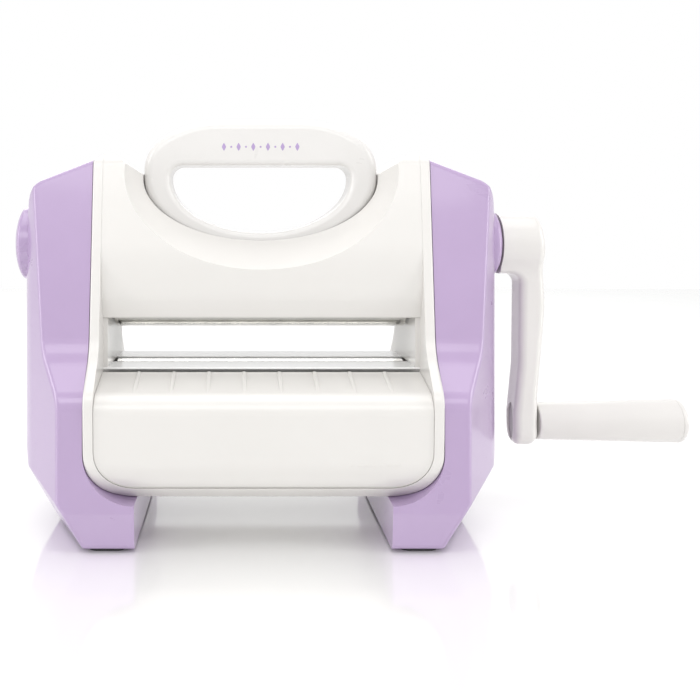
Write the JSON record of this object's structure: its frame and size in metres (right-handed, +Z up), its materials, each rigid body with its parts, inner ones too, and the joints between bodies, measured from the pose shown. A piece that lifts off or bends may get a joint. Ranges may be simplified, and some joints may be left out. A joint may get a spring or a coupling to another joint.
{
  "type": "die cutting machine",
  "caption": "Hand-cranked tabletop die cutting machine: a feed slot between geared steel rollers, bulged end caps with feet, a ring carrying handle and a side crank with a turning grip.",
  "frame": {"origin": "centre of the housing's footprint, on the surface it stands on", "axes": "+X towards the crank, -Y towards the front apron, +Z up"},
  "size_m": [0.3684, 0.1216, 0.2186],
  "materials": {
    "white_plastic": "satin moulded, fine grain",
    "handle_white": "satin moulded",
    "lilac_plastic": "satin moulded",
    "roller_steel": "fine ground",
    "table_plastic": "smooth",
    "shaft_steel": "turned",
    "plate_steel": "zinc plated sheet",
    "gear_steel": "hobbed, oiled",
    "bush_bronze": "sintered",
    "screw_steel": "bright",
    "foot_rubber": "matt",
    "grip_white": "satin moulded",
    "pin_grey": "turned"
  },
  "bodies": {
    "housing": {"left_cheek": "white_plastic", "right_cheek": "white_plastic", "base_pan": "white_plastic", "front_apron": "white_plastic", "rear_apron": "white_plastic", "front_upper_cover": "white_plastic", "rear_upper_cover": "white_plastic", "handle_front_half": "handle_white", "handle_rear_half": "handle_white", "left_end_cap": "lilac_plastic", "right_end_cap": "lilac_plastic", "left_boss_cap": "lilac_plastic", "right_boss_ring": "lilac_plastic", "front_feed_table": "table_plastic", "rear_feed_table": "table_plastic", "tie_rods": "shaft_steel", "gear_plate_posts": "shaft_steel", "left_side_plate": "plate_steel", "right_side_plate": "plate_steel", "outer_gear_plate": "plate_steel", "roller_bushes": "bush_bronze", "gear_plate_bushes": "bush_bronze", "crank_bush": "bush_bronze", "plate_screws": "screw_steel", "post_screws": "screw_steel", "rubber_feet": "foot_rubber"},
    "crank": {"crank_arm": "white_plastic", "crank_shaft": "shaft_steel", "crank_pinion": "gear_steel", "crank_screw": "screw_steel", "grip_pin": "pin_grey", "grip_pin_nut": "screw_steel"},
    "grip": {"grip": "grip_white", "grip_end_cap": "grip_white"},
    "upper_roller": {"upper_roller_barrel": "roller_steel", "upper_roller_shaft": "shaft_steel", "upper_timing_gear": "gear_steel", "drive_gear": "gear_steel", "upper_retaining_ring": "screw_steel"},
    "lower_roller": {"lower_roller_barrel": "roller_steel", "lower_roller_shaft": "shaft_steel", "lower_timing_gear": "gear_steel", "lower_retaining_ring": "screw_steel"}
  },
  "joints": [
    {"name": "crank_spin", "type": "hinge", "parent": "housing", "child": "crank", "pos_m": [0.1426, 0, 0.151], "axis": [1, 0, 0], "continuous": true},
    {"name": "grip_spin", "type": "hinge", "parent": "crank", "child": "grip", "pos_m": [0.1935, 0, 0.0515], "axis": [1, 0, 0], "continuous": true},
    {"name": "upper_roller_spin", "type": "hinge", "parent": "housing", "child": "upper_roller", "pos_m": [0, 0, 0.121], "axis": [1, 0, 0], "continuous": true},
    {"name": "lower_roller_spin", "type": "hinge", "parent": "housing", "child": "lower_roller", "pos_m": [0, 0, 0.07], "axis": [1, 0, 0], "continuous": true}
  ],
  "couplings": [
    {"joint": "upper_roller_spin", "follows": "crank_spin", "ratio": -0.42857},
    {"joint": "lower_roller_spin", "follows": "crank_spin", "ratio": 0.42857}
  ]
}
